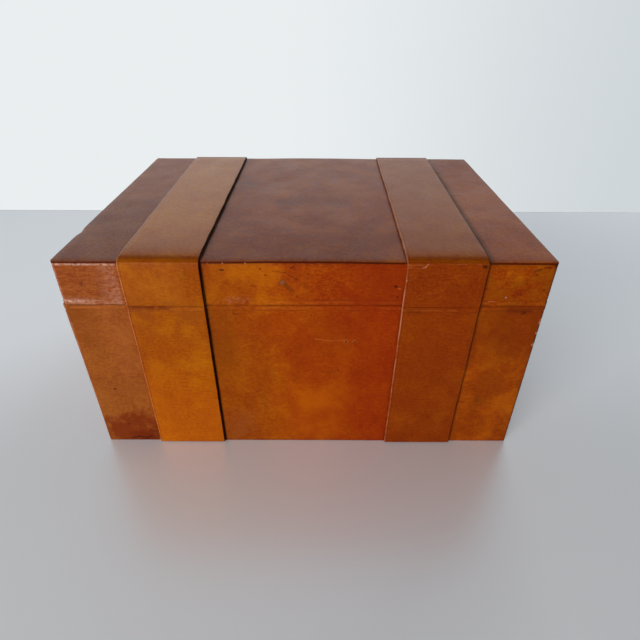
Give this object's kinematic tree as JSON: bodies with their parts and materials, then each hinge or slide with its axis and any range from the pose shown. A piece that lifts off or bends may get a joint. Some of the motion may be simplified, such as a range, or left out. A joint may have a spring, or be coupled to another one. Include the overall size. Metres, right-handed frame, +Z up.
{
  "type": "leather box",
  "caption": "Rectangular leather-covered wooden box for papers and keepsakes, with a shallow lid on butt hinges at the back and flat leather straps over the lid and walls.",
  "frame": {"origin": "centre of the flat underside", "axes": "+X to the right along the front, +Y from the front to the back, where the hinges are, +Z up"},
  "size_m": [0.2, 0.1556, 0.1015],
  "materials": {
    "wood": "bare",
    "leather": "pebbled, mottled and burnished at the edges",
    "strap_leather": "pebbled and mottled, a little lighter",
    "suede": "suede",
    "felt": "pressed felt",
    "brass": "satin, slightly aged",
    "screw_brass": "satin, slightly aged"
  },
  "bodies": {
    "body": {"base_board": "wood", "body_front_board": "wood", "body_back_board": "wood", "body_left_board": "wood", "body_right_board": "wood", "body_side_leather": "leather", "underside_felt": "felt", "liner_floor": "suede", "liner_front": "suede", "liner_back": "suede", "liner_left": "suede", "liner_right": "suede", "body_strap_front_left": "strap_leather", "body_strap_front_right": "strap_leather", "body_strap_back_left": "strap_leather", "body_strap_back_right": "strap_leather", "hinge_left_body_leaf": "brass", "hinge_left_body_screw_1": "screw_brass", "hinge_left_body_screw_2": "screw_brass", "hinge_left_pin": "screw_brass", "hinge_right_body_leaf": "brass", "hinge_right_body_screw_1": "screw_brass", "hinge_right_body_screw_2": "screw_brass", "hinge_right_pin": "screw_brass"},
    "lid": {"lid_top_board": "wood", "lid_front_board": "wood", "lid_back_board": "wood", "lid_left_board": "wood", "lid_right_board": "wood", "lid_side_leather": "leather", "lid_top_leather": "leather", "lid_strap_left": "strap_leather", "lid_strap_right": "strap_leather", "lid_liner_top": "suede", "lid_liner_front": "suede", "lid_liner_back": "suede", "lid_liner_left": "suede", "lid_liner_right": "suede", "hinge_left_lid_leaf": "brass", "hinge_left_lid_screw_1": "screw_brass", "hinge_left_lid_screw_2": "screw_brass", "hinge_right_lid_leaf": "brass", "hinge_right_lid_screw_1": "screw_brass", "hinge_right_lid_screw_2": "screw_brass"}
  },
  "joints": [
    {"name": "lid_hinge", "type": "hinge", "parent": "body", "child": "lid", "pos_m": [0, 0.0772, 0.08], "axis": [-1, 0, 0], "range_deg": [0, 180]}
  ]
}
